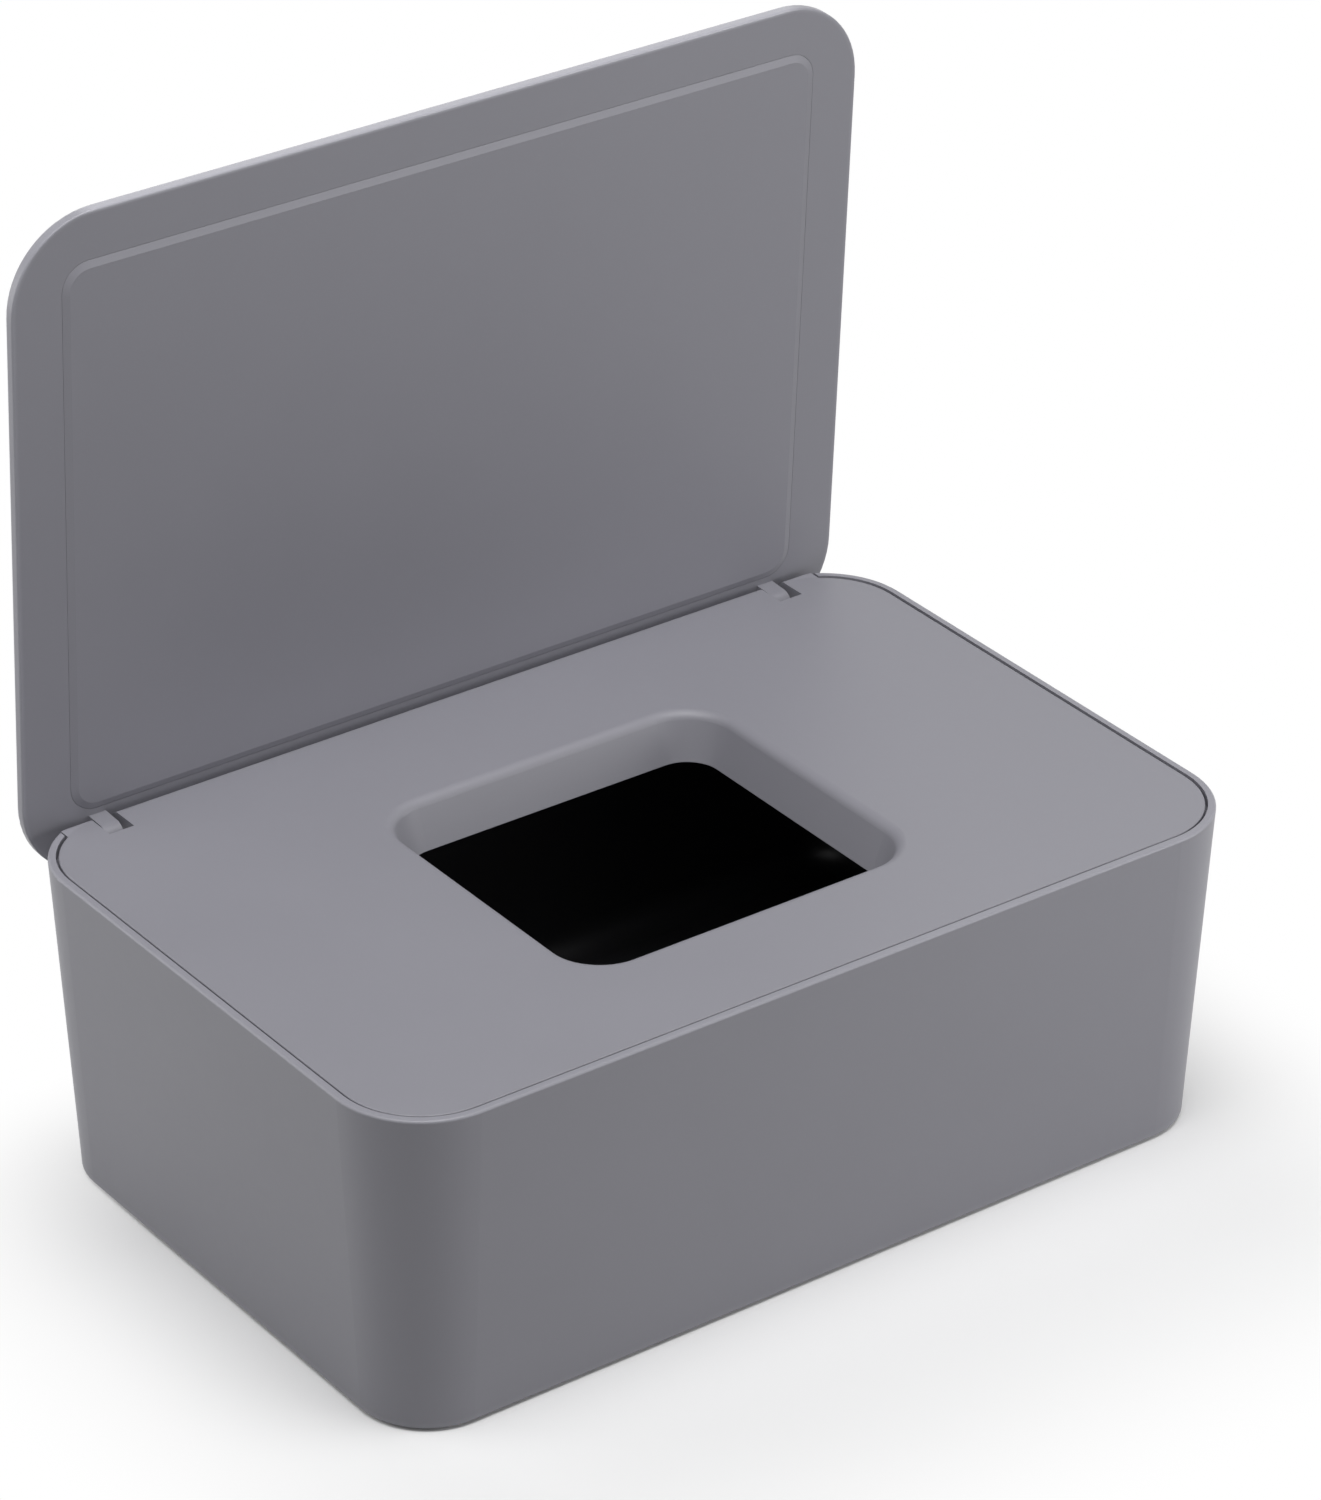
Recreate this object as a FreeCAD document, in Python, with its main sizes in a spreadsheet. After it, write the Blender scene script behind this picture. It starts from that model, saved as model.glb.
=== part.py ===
import FreeCAD, Part
import math
import os
import re

from FreeCAD import Placement, Rotation, Vector
import Sketcher

# Countertop box for moist wipes: a tapered tub with a black liner, a drop-in deck
# with a dished mouth, and a flip lid hinged on two pins near the rear edge.
# Millimetres, +Z up. The origin is the middle of the footprint, on the table.
# The lid is modelled standing open, as it rests on its stop.

SIZES = {
    # tub
    "tub_length": (190.0, "outside, left to right at the rim"),
    "tub_depth": (124.0, "outside, front to rear at the rim"),
    "rim_height": (66.4, "rim above the table"),
    "side_inset": (3.5, "how far each wall leans in at the base"),
    "rim_corner": (17.8, "plan radius of the corners at the rim, less lower down"),
    "tub_wall": (2.6, "wall below the ledge"),
    "tub_floor": (2.4, "floor of the tub"),
    "rim_land": (1.5, "visible width of the rim"),
    "rim_round": (0.5, "outer edge of the rim"),
    "base_round": (0.6, "outer edge of the base"),
    # deck
    "deck_recess": (0.1, "deck below the rim"),
    "deck_thick": (2.0, "deck plate"),
    "seam_gap": (0.5, "between the deck's edge and the rim"),
    "deck_round": (0.25, "edge of the deck along the seam"),
    "flange_inset": (9.4, "tub's side to the end of the rear flange, which stands in for the rim"),
    "flange_wall": (2.0, "rear flange, front to rear"),
    "flange_setback": (0.1, "rear flange in from the tub's rear face"),
    "flange_gap": (0.4, "between the flange and the notch in the tub"),
    "skirt_wall": (1.6, "plug skirt under the deck"),
    "skirt_depth": (9.6, "plug skirt below the deck plate"),
    "skirt_gap": (0.3, "between the skirt and the tub's wall"),
    "seal_height": (2.4, "height of the seal's groove"),
    "seal_lift": (1.4, "lower side of the groove above the skirt's end"),
    "seal_seat": (0.9, "depth of the seal's groove"),
    "seal_gap": (0.1, "between the seal and the tub's wall"),
    "seal_round": (0.3, "outer edges of the seal"),
    # mouth
    "mouth_length": (77.5, "left to right, where the deck starts to dip"),
    "mouth_depth": (70.6, "front to rear, where the deck starts to dip"),
    "mouth_forward": (2.6, "middle of the mouth in front of the deck's middle"),
    "mouth_corner": (11.7, "plan radius where the deck starts to dip"),
    "mouth_round": (2.2, "rolled edge between deck and funnel"),
    "mouth_drop": (9.0, "lip below the deck"),
    "funnel_wall": (1.8, "wall of the funnel"),
    # hinge
    "pin_inset": (3.3, "pin axis in front of the tub's rear face, and below the deck"),
    "pin_diameter": (2.0, "hinge pin"),
    "pin_clearance": (0.04, "all round the pin in the lug"),
    "pin_skin": (0.5, "what is left of the inner ear behind the pin's end"),
    "pin_chamfer": (0.2, "ends of the pin"),
    "slot_inset": (18.7, "tub's side to the middle of the slot"),
    "lug_width": (3.6, "lug, left to right"),
    "lug_side_gap": (0.8, "each side of the lug"),
    "knuckle_radius": (2.6, "lug around the pin"),
    "slot_front_gap": (2.2, "slot in front of the knuckle"),
    "slot_floor_gap": (0.5, "slot below the knuckle"),
    "lug_stop_gap": (0.05, "lug above the tub's rear wall, where it stops"),
    "ear_thick": (2.2, "ears beside the slot"),
    "nose_radius": (3.5, "the deck's rear edge about the pin axis"),
    "well_wall": (1.4, "front wall and floor of the hinge well"),
    "well_rear_gap": (1.6, "well's lower end in front of the tub's wall"),
    # lid
    "lid_side_inset": (3.0, "lid in from the tub's side, at the rim"),
    "lid_front_reach": (5.0, "finger lip past the tub's front, at the rim"),
    "lid_rear_reach": (6.0, "lid past the tub's rear, at the rim"),
    "lid_corner": (17.5, "plan radius of the corners"),
    "lid_thick": (2.4, "lid plate"),
    "lid_clearance": (0.5, "between the closed lid and the rim"),
    "lid_outer_round": (0.9, "outer edge of the lid"),
    "lid_inner_round": (0.35, "inner edge of the lid"),
    "plate_side_inset": (10.2, "lid's edge to the inner plate, left and right"),
    "plate_front_inset": (9.6, "lid's edge to the inner plate, front"),
    "plate_rear_inset": (13.2, "lid's edge to the inner plate, rear"),
    "plate_corner": (5.5, "plan radius of the inner plate"),
    "plate_thick": (1.2, "inner plate"),
    "plate_proud": (0.45, "inner plate above the lid's inner face"),
    "plate_bevel": (1.4, "width of the inner plate's bevelled edge"),
    "plate_gap": (0.06, "around the inner plate in its recess"),
    # liner
    "liner_wall": (1.2, "wall and floor of the liner"),
    "liner_gap": (0.15, "between liner and tub"),
    "liner_drop": (1.0, "liner's rim below the skirt's end"),
    "liner_round": (6.0, "round inside the liner, wall to floor"),
    # feet
    "foot_diameter": (14.0, "rubber pad"),
    "foot_thick": (1.6, "rubber pad"),
    "foot_stand": (0.6, "pad below the tub's base"),
    "foot_gap": (0.1, "around the pad in its recess"),
    "foot_inset": (17.0, "middle of the pad from the base's edges"),
    "foot_round": (0.3, "lower edge of the pad"),
    # cuts
    "overrun": (2.0, "how far a cut runs past what it cuts"),
    "same_place": (0.01, "how near two places are when an edge is picked"),
}

ANGLES = {
    "mouth_lean": (20.0, "the funnel's walls, from upright"),
    "lid_open_angle": (87.0, "degrees from closed to the stop, a little short of upright"),
}

QUARTER = math.pi / 2

# Places that follow from the sizes, in the names of the sheet's cells.
BASE_LENGTH = "(tub_length - 2 * side_inset)"
BASE_DEPTH = "(tub_depth - 2 * side_inset)"
TAPER_HEIGHT = "(rim_height - foot_stand)"
FLOOR_TOP = "(foot_stand + tub_floor)"
DECK_TOP = "(rim_height - deck_recess)"
DECK_UNDER = "(rim_height - deck_recess - deck_thick)"
DECK_MIDDLE = f"({DECK_UNDER} + deck_thick / 2)"
SKIRT_END = f"({DECK_UNDER} - skirt_depth)"
CORNER_X = "(tub_length / 2 - rim_corner)"
CORNER_Y = "(tub_depth / 2 - rim_corner)"
PIN_Y = "(tub_depth / 2 - pin_inset)"
PIN_Z = f"({DECK_TOP} - pin_inset)"
NOTCH_FLOOR = f"({PIN_Z} - knuckle_radius - lug_stop_gap)"
FLANGE_REACH = "(tub_length / 2 - flange_inset)"
SLOT_OFFSET = "(tub_length / 2 - slot_inset)"
SLOT_HALF = "(lug_width / 2 + lug_side_gap)"
SLOT_FRONT = f"({PIN_Y} - knuckle_radius - slot_front_gap)"
SLOT_FLOOR = f"({PIN_Z} - knuckle_radius - slot_floor_gap)"
LID_RISE = f"(rim_height + lid_clearance - {PIN_Z})"
LID_LENGTH = "(tub_length - 2 * lid_side_inset)"
LID_DEPTH = "(tub_depth + lid_front_reach + lid_rear_reach)"
LID_BEHIND_PIN = "(pin_inset + lid_rear_reach)"
LID_FORWARD = f"({LID_DEPTH} / 2 - {LID_BEHIND_PIN})"
LINER_TOP = f"({SKIRT_END} - liner_drop)"
LIP_LEVEL = f"({DECK_TOP} - mouth_drop)"
MOUTH_LEAN = "(mouth_drop * tan(mouth_lean * 1 deg))"
MOUTH_ROLL = "(mouth_round * tan(45 deg - mouth_lean * 0.5 deg))"
MOUTH_INSET = f"({MOUTH_LEAN} + {MOUTH_ROLL})"

doc = FreeCAD.newDocument("wipes_dispenser")
sheet = doc.addObject("Spreadsheet::Sheet", "Sizes")


def fill_sheet():
    for row, (alias, (size, meaning)) in enumerate({**SIZES, **ANGLES}.items(), start=1):
        sheet.set(f"A{row}", alias)
        sheet.set(f"B{row}", str(size))
        sheet.setAlias(f"B{row}", alias)
        sheet.set(f"C{row}", meaning)
    doc.recompute()


def cells(text):
    """The expression with each size's name as a reference to its cell."""
    names = "|".join({**SIZES, **ANGLES})
    return re.sub(rf"\b({names})\b", r"Sizes.\1", text)


def value(text):
    """What an expression of the sheet's names comes to, in millimetres."""
    return float(sheet.evalExpression(cells(text)))


def bind(thing, prop, text):
    thing.setExpression(prop, cells(text))


def new_body(name):
    body = doc.addObject("PartDesign::Body", name)
    body.Label = name
    return body


def plane(body, role):
    return next(item for item in body.Origin.OriginFeatures if item.Role == role)


def flat_sketch(body, name, level, role="XY_Plane"):
    """A sketch on one of the body's own planes, moved along its normal."""
    sketch = body.newObject("Sketcher::SketchObject", f"{body.Name}_{name}")
    sketch.AttachmentSupport = (plane(body, role), [""])
    sketch.MapMode = "FlatFace"
    bind(sketch, "AttachmentOffset.Base.z", level)
    return sketch


def dimension(sketch, kind, places, text, name):
    """A driving constraint of a sketch, bound to the sheet."""
    index = sketch.addConstraint(Sketcher.Constraint(kind, *places, value(text)))
    sketch.renameConstraint(index, name)
    bind(sketch, f"Constraints.{name}", text)


def link(sketch, kind, *places):
    sketch.addConstraint(Sketcher.Constraint(kind, *places))


def arc(middle_x, middle_y, radius, start, end):
    circle = Part.Circle(Vector(middle_x, middle_y, 0), Vector(0, 0, 1), radius)
    return Part.ArcOfCircle(circle, start, end)


def line(start_x, start_y, end_x, end_y):
    return Part.LineSegment(Vector(start_x, start_y, 0), Vector(end_x, end_y, 0))


def add_rounded_rectangle(sketch, name, half_x, front, rear, corner):
    """Front and rear are distances from the origin to the two long sides."""
    right = value(half_x)
    low = -value(front)
    high = value(rear)
    radius = value(corner)
    sides = [
        line(radius - right, low, right - radius, low),
        line(right, low + radius, right, high - radius),
        line(right - radius, high, radius - right, high),
        line(-right, high - radius, -right, low + radius),
    ]
    corners = [
        arc(right - radius, low + radius, radius, -QUARTER, 0),
        arc(right - radius, high - radius, radius, 0, QUARTER),
        arc(radius - right, high - radius, radius, QUARTER, 2 * QUARTER),
        arc(radius - right, low + radius, radius, 2 * QUARTER, 3 * QUARTER),
    ]
    side = [sketch.addGeometry(piece) for piece in sides]
    bend = [sketch.addGeometry(piece) for piece in corners]
    for index in range(len(side)):
        following = side[(index + 1) % len(side)]
        link(sketch, "Tangent", side[index], 2, bend[index], 1)
        link(sketch, "Tangent", bend[index], 2, following, 1)
        link(sketch, "Vertical" if index % 2 else "Horizontal", side[index])
    for other in bend[1:]:
        link(sketch, "Equal", bend[0], other)
    dimension(sketch, "Radius", (bend[0],), corner, f"{name}_corner")
    dimension(sketch, "DistanceX", (-1, 1, side[1], 1), half_x, f"{name}_right")
    dimension(sketch, "DistanceX", (side[3], 1, -1, 1), half_x, f"{name}_left")
    dimension(sketch, "DistanceY", (side[0], 1, -1, 1), front, f"{name}_front")
    dimension(sketch, "DistanceY", (-1, 1, side[2], 1), rear, f"{name}_rear")


def rounded_rectangle(body, name, level, length, depth, corner, forward="0"):
    sketch = flat_sketch(body, name, level)
    front = f"({depth}) / 2 + ({forward})"
    rear = f"({depth}) / 2 - ({forward})"
    add_rounded_rectangle(sketch, "outline", f"({length}) / 2", front, rear, corner)
    return sketch


def add_polygon(sketch, name, corners):
    """A closed outline of straight lines through corners given as two expressions each."""
    places = [(value(across), value(along)) for across, along in corners]
    following = places[1:] + places[:1]
    side = [sketch.addGeometry(line(*start, *end)) for start, end in zip(places, following)]
    for index, (across, along) in enumerate(corners):
        link(sketch, "Coincident", side[index - 1], 2, side[index], 1)
        dimension(sketch, "DistanceX", (-1, 1, side[index], 1), across, f"{name}_x{index}")
        dimension(sketch, "DistanceY", (-1, 1, side[index], 1), along, f"{name}_y{index}")


def add_box(sketch, name, left, right, front, rear):
    corners = [(left, front), (right, front), (right, rear), (left, rear)]
    add_polygon(sketch, name, corners)


def add_circle(sketch, name, middle_x, middle_y, diameter):
    circle = Part.Circle(
        Vector(value(middle_x), value(middle_y), 0), Vector(0, 0, 1), value(diameter) / 2
    )
    index = sketch.addGeometry(circle)
    dimension(sketch, "Diameter", (index,), diameter, f"{name}_diameter")
    dimension(sketch, "DistanceX", (-1, 1, index, 3), middle_x, f"{name}_x")
    dimension(sketch, "DistanceY", (-1, 1, index, 3), middle_y, f"{name}_y")


def extrude(body, kind, name, sketch, length, reverse=False, midplane=False):
    """A pad or a pocket. A pad goes along its sketch's normal and a pocket against it."""
    before = body.Shape.Volume if body.Tip else 0
    feature = body.newObject(f"PartDesign::{kind}", f"{body.Name}_{name}")
    feature.Profile = (sketch, [""])
    bind(feature, "Length", length)
    feature.Reversed = reverse
    if midplane:
        feature.SideType = "Symmetric"
    doc.recompute()
    change = feature.Shape.Volume - before
    if (change > 0) != (kind == "Pad"):
        raise RuntimeError(f"{feature.Name} changed the volume by {change}")
    return feature


def loft(body, kind, name, first, second):
    feature = body.newObject(f"PartDesign::{kind}", f"{body.Name}_{name}")
    feature.Profile = (first, [""])
    feature.Sections = [(second, [""])]
    feature.Ruled = True
    doc.recompute()
    return feature


def edge_names(feature, wanted):
    edges = enumerate(feature.Shape.Edges, start=1)
    return [f"Edge{number}" for number, edge in edges if wanted(edge)]


def round_edges(body, name, feature, wanted, radius):
    names = edge_names(feature, wanted)
    if not names:
        raise RuntimeError(f"{body.Name} {name}: no edge found")
    fillet = body.newObject("PartDesign::Fillet", f"{body.Name}_{name}")
    fillet.Base = (feature, names)
    bind(fillet, "Radius", radius)
    doc.recompute()
    return fillet


def at_level(level):
    """A test for edges that lie flat at a height."""
    height = value(level)
    slack = value("same_place")

    def wanted(edge):
        box = edge.BoundBox
        return abs(box.ZMin - height) < slack and abs(box.ZMax - height) < slack

    return wanted


def inset_at(level):
    """How far the tapered wall has leant in at a height."""
    return f"(side_inset * (rim_height - {level}) / {TAPER_HEIGHT})"


def tapered_section(body, name, level, inward):
    """The tub's plan outline at a height, offset inward."""
    inset = f"({inset_at(level)} + {inward})"
    length = f"tub_length - 2 * {inset}"
    depth = f"tub_depth - 2 * {inset}"
    return rounded_rectangle(body, name, level, length, depth, f"rim_corner - {inset}")


def lean_walls(body, name, feature, depth, reverse):
    """Give the upright faces of this depth the tub's taper, kept as they are at the top."""
    shape = feature.Shape
    tall = value(depth)
    slack = value("same_place")
    faces = list(enumerate(shape.Faces, start=1))
    walls = [number for number, face in faces if abs(face.BoundBox.ZLength - tall) < slack]
    tops = [number for number, face in faces if face.BoundBox.ZMin > shape.BoundBox.ZMax - slack]
    draft = body.newObject("PartDesign::Draft", f"{body.Name}_{name}")
    draft.Base = (feature, [f"Face{number}" for number in walls])
    draft.NeutralPlane = (feature, [f"Face{number}" for number in tops])
    bind(draft, "Angle", f"atan(side_inset / {TAPER_HEIGHT})")
    draft.Reversed = reverse
    doc.recompute()
    return draft


def tapered_tray(body, top, bottom, inward, wall, floor):
    """An open tray that follows the tub's taper, inside and out."""
    outer = tapered_section(body, "outline", top, inward)
    extrude(body, "Pad", "block", outer, f"{top} - {bottom}", reverse=True)
    inner = tapered_section(body, "hollow", top, f"{inward} + {wall}")
    hollow = extrude(body, "Pocket", "hollow_cut", inner, f"{top} - {bottom} - {floor}")
    inside = lean_walls(body, "inner_taper", hollow, f"{top} - {bottom} - {floor}", False)
    return lean_walls(body, "outer_taper", inside, f"{top} - {bottom}", True)


def make_tub_shell():
    body = new_body("tub_shell")
    tray = tapered_tray(body, "rim_height", "foot_stand", "0", "tub_wall", "tub_floor")
    round_edges(body, "base_edge", tray, at_level("foot_stand"), "base_round")
    ledge = rounded_rectangle(
        body, "ledge", "rim_height", "tub_length - 2 * rim_land", "tub_depth - 2 * rim_land",
        "rim_corner - rim_land",
    )
    extrude(body, "Pocket", "ledge_cut", ledge, "deck_recess + deck_thick")
    rim_edges = make_rim_test()
    rounded = round_edges(body, "rim_edge", body.Tip, rim_edges, "rim_round")
    notch = flat_sketch(body, "notch", "rim_height")
    half = f"({FLANGE_REACH} + flange_gap)"
    add_box(notch, "notch", f"-{half}", half, CORNER_Y, "tub_depth / 2 + overrun")
    extrude(body, "Pocket", "notch_cut", notch, f"rim_height - {NOTCH_FLOOR}")
    recess = flat_sketch(body, "foot_recess", "foot_stand")
    for index, (side, end) in enumerate(FOOT_PLACES.values()):
        place_x, place_y = foot_place(side, end)
        add_circle(recess, f"pad_{index}", place_x, place_y, "foot_diameter + 2 * foot_gap")
    extrude(body, "Pocket", "foot_cut", recess, "foot_thick - foot_stand", reverse=True)
    return body


def make_rim_test():
    """The outer edge of the rim: at rim height and on the outside of the tub."""
    flat = at_level("rim_height")
    slack = value("same_place")
    inner_x = value("tub_length / 2 - rim_land") + slack
    inner_y = value("tub_depth / 2 - rim_land") + slack
    middle_x = value(CORNER_X)
    middle_y = value(CORNER_Y)
    inner_radius = value("rim_corner - rim_land") + slack

    def wanted(edge):
        if not flat(edge):
            return False
        middle = edge.valueAt((edge.FirstParameter + edge.LastParameter) / 2)
        along_x = abs(middle.x) - middle_x
        along_y = abs(middle.y) - middle_y
        if along_x > 0 and along_y > 0:
            return Vector(along_x, along_y, 0).Length > inner_radius
        return abs(middle.x) > inner_x or abs(middle.y) > inner_y

    return wanted


FOOT_PLACES = {
    "foot_front_left": (-1, -1),
    "foot_front_right": (1, -1),
    "foot_rear_left": (-1, 1),
    "foot_rear_right": (1, 1),
}


def foot_place(side, end):
    place_x = f"{side} * ({BASE_LENGTH} / 2 - foot_inset)"
    place_y = f"{end} * ({BASE_DEPTH} / 2 - foot_inset)"
    return place_x, place_y


def make_foot(name, side, end):
    body = new_body(name)
    sketch = flat_sketch(body, "pad", "0")
    add_circle(sketch, "pad", "0", "0", "foot_diameter")
    pad = extrude(body, "Pad", "disc", sketch, "foot_thick")
    round_edges(body, "edge", pad, at_level("0"), "foot_round")
    place_x, place_y = foot_place(side, end)
    bind(body, "Placement.Base.x", place_x)
    bind(body, "Placement.Base.y", place_y)
    return body


def make_inner_liner():
    body = new_body("inner_liner")
    skin = "(tub_wall + liner_gap)"
    tray = tapered_tray(body, LINER_TOP, FLOOR_TOP, skin, "liner_wall", "liner_wall")
    round_edges(body, "floor_edge", tray, at_level(f"{FLOOR_TOP} + liner_wall"), "liner_round")
    return body


def add_flange_outline(sketch):
    """A strip along the tub's rear outline, bent round into both rear corners."""
    radius_out = "(rim_corner - flange_setback)"
    radius_in = "(rim_corner - flange_setback - flange_wall)"
    middle_x, middle_y = value(CORNER_X), value(CORNER_Y)
    reach = value(FLANGE_REACH)
    arcs = {}
    ends = {}
    for side in (1, -1):
        for radius in (radius_out, radius_in):
            size = value(radius)
            rise = (size**2 - (reach - middle_x) ** 2) ** 0.5
            angle = Vector(1, 0, 0).getAngle(Vector(reach - middle_x, rise, 0))
            start, end = (angle, QUARTER) if side > 0 else (QUARTER, 2 * QUARTER - angle)
            piece = arc(side * middle_x, middle_y, size, start, end)
            arcs[side, radius] = sketch.addGeometry(piece)
            ends[side, radius] = middle_y + rise
    long_sides = {}
    for radius in (radius_out, radius_in):
        high = middle_y + value(radius)
        long_sides[radius] = sketch.addGeometry(line(middle_x, high, -middle_x, high))
        link(sketch, "Tangent", arcs[1, radius], 2, long_sides[radius], 1)
        link(sketch, "Tangent", arcs[-1, radius], 1, long_sides[radius], 2)
        link(sketch, "Equal", arcs[1, radius], arcs[-1, radius])
    dimension(sketch, "Radius", (arcs[1, radius_out],), radius_out, "outer_radius")
    dimension(sketch, "Radius", (arcs[1, radius_in],), radius_in, "inner_radius")
    for side, name in ((1, "right"), (-1, "left")):
        outer, inner = arcs[side, radius_out], arcs[side, radius_in]
        short = line(side * reach, ends[side, radius_out], side * reach, ends[side, radius_in])
        cap = sketch.addGeometry(short)
        free_end = 1 if side > 0 else 2
        link(sketch, "Coincident", outer, free_end, cap, 1)
        link(sketch, "Coincident", inner, free_end, cap, 2)
        link(sketch, "Vertical", cap)
        link(sketch, "Coincident", outer, 3, inner, 3)
        dimension(sketch, "DistanceX", (-1, 1, outer, 3), f"{side} * {CORNER_X}", f"{name}_x")
        dimension(sketch, "DistanceY", (-1, 1, outer, 3), CORNER_Y, f"{name}_y")
        dimension(sketch, "DistanceX", (-1, 1, cap, 1), f"{side} * {FLANGE_REACH}", f"{name}_end")


def ring(body, name, level, half_x, half_y, corner, wall):
    """A closed band between two rounded rectangles."""
    sketch = flat_sketch(body, name, level)
    add_rounded_rectangle(sketch, "outer", half_x, half_y, half_y, corner)
    inner_x = f"({half_x}) - ({wall})"
    inner_y = f"({half_y}) - ({wall})"
    inner_corner = f"({corner}) - ({wall})"
    add_rounded_rectangle(sketch, "inner", inner_x, inner_y, inner_y, inner_corner)
    return sketch


SKIRT_INSET = f"(tub_wall + {inset_at(SKIRT_END)} + skirt_gap)"
SKIRT_HALF_X = f"(tub_length / 2 - {SKIRT_INSET})"
SKIRT_HALF_Y = f"(tub_depth / 2 - {SKIRT_INSET})"
SKIRT_CORNER = "(rim_corner - tub_wall - skirt_gap)"
SEAL_TOP = f"({SKIRT_END} + seal_lift + seal_height)"
SEAL_REACH = f"({inset_at(SKIRT_END)} - {inset_at(f'({SKIRT_END} + seal_lift)')} + skirt_gap - seal_gap)"


def make_deck_cover():
    body = new_body("deck_cover")
    edge_inset = "(rim_land + seam_gap)"
    plate = rounded_rectangle(
        body, "plate", DECK_TOP, f"tub_length - 2 * {edge_inset}",
        f"tub_depth - 2 * {edge_inset}", f"rim_corner - {edge_inset}",
    )
    extrude(body, "Pad", "slab", plate, "deck_thick", reverse=True)
    flange = flat_sketch(body, "flange", DECK_TOP)
    add_flange_outline(flange)
    extrude(
        body, "Pad", "rear_flange", flange, f"{DECK_TOP} - {NOTCH_FLOOR} - flange_gap", reverse=True
    )
    skirt = ring(body, "skirt", DECK_MIDDLE, SKIRT_HALF_X, SKIRT_HALF_Y, SKIRT_CORNER, "skirt_wall")
    extrude(body, "Pad", "plug_skirt", skirt, f"{DECK_MIDDLE} - {SKIRT_END}", reverse=True)
    cut_seal_groove(body)
    add_hinge_wells(body)
    add_funnel(body)
    round_edges(body, "seam_edge", body.Tip, make_seam_test(), "deck_round")
    cut_nose(body)
    cut_hinge_slots(body)
    return body


def make_seam_test():
    """Upper edges of the deck plate that face the rim, in front of the rear corners."""
    flat = at_level(DECK_TOP)
    half_x = value("mouth_length / 2")
    half_y = value("mouth_depth / 2")
    rear = value(CORNER_Y)

    def wanted(edge):
        middle = edge.valueAt((edge.FirstParameter + edge.LastParameter) / 2)
        beyond_mouth = abs(middle.x) > half_x or abs(middle.y) > half_y + value("mouth_forward")
        return flat(edge) and beyond_mouth and middle.y < rear

    return wanted


def cut_nose(body):
    """Round the deck's rear edge about the pin, so that the lid can swing past it."""
    sketch = flat_sketch(body, "nose", "0", "YZ_Plane")
    radius, past = value("nose_radius"), value("overrun")
    pin_y, pin_z = value(PIN_Y), value(PIN_Z)
    far = radius + past
    bend = sketch.addGeometry(arc(pin_y, pin_z, radius, 0, QUARTER))
    foot = sketch.addGeometry(line(pin_y + radius, pin_z, pin_y + far, pin_z))
    rear = sketch.addGeometry(line(pin_y + far, pin_z, pin_y + far, pin_z + far))
    head = sketch.addGeometry(line(pin_y + far, pin_z + far, pin_y, pin_z + far))
    front = sketch.addGeometry(line(pin_y, pin_z + far, pin_y, pin_z + radius))
    link(sketch, "Coincident", bend, 1, foot, 1)
    link(sketch, "Coincident", bend, 2, front, 2)
    for first, second in ((foot, rear), (rear, head), (head, front)):
        link(sketch, "Coincident", first, 2, second, 1)
    for level in (foot, head):
        link(sketch, "Horizontal", level)
    for upright in (rear, front):
        link(sketch, "Vertical", upright)
    link(sketch, "Horizontal", bend, 3, bend, 1)
    link(sketch, "Vertical", bend, 3, bend, 2)
    dimension(sketch, "Radius", (bend,), "nose_radius", "nose")
    dimension(sketch, "DistanceX", (-1, 1, bend, 3), PIN_Y, "pin_y")
    dimension(sketch, "DistanceY", (-1, 1, bend, 3), PIN_Z, "pin_z")
    dimension(sketch, "DistanceX", (bend, 3, rear, 1), "nose_radius + overrun", "past_rear")
    dimension(sketch, "DistanceY", (bend, 3, head, 1), "nose_radius + overrun", "past_top")
    width = f"2 * ({FLANGE_REACH} + overrun)"
    extrude(body, "Pocket", "nose_cut", sketch, width, midplane=True)


def cut_seal_groove(body):
    sketch = flat_sketch(body, "seal_groove", SEAL_TOP)
    add_rounded_rectangle(
        sketch, "outer", f"{SKIRT_HALF_X} + overrun", f"{SKIRT_HALF_Y} + overrun",
        f"{SKIRT_HALF_Y} + overrun", f"{SKIRT_CORNER} + overrun",
    )
    add_rounded_rectangle(
        sketch, "inner", f"{SKIRT_HALF_X} - seal_seat", f"{SKIRT_HALF_Y} - seal_seat",
        f"{SKIRT_HALF_Y} - seal_seat", f"{SKIRT_CORNER} - seal_seat",
    )
    extrude(body, "Pocket", "groove_cut", sketch, "seal_height")


def add_hinge_wells(body):
    """Blocks under the deck: their sides are the ears that hold the pins."""
    front = f"{SLOT_FRONT} - well_wall"
    top = DECK_MIDDLE
    step = f"{NOTCH_FLOOR} + flange_gap"
    end = f"{SLOT_FLOOR} - well_wall"
    upper_rear = "tub_depth / 2 - flange_setback - flange_wall / 2"
    lower_rear = "tub_depth / 2 - tub_wall - well_rear_gap"
    profile = [
        (front, end), (lower_rear, end), (lower_rear, step),
        (upper_rear, step), (upper_rear, top), (front, top),
    ]
    for sign, label in ((1, "right"), (-1, "left")):
        sketch = flat_sketch(body, f"well_{label}", f"{sign} * {SLOT_OFFSET}", "YZ_Plane")
        add_polygon(sketch, "well", profile)
        width = f"2 * ({SLOT_HALF} + ear_thick)"
        extrude(body, "Pad", f"well_block_{label}", sketch, width, midplane=True)


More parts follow.
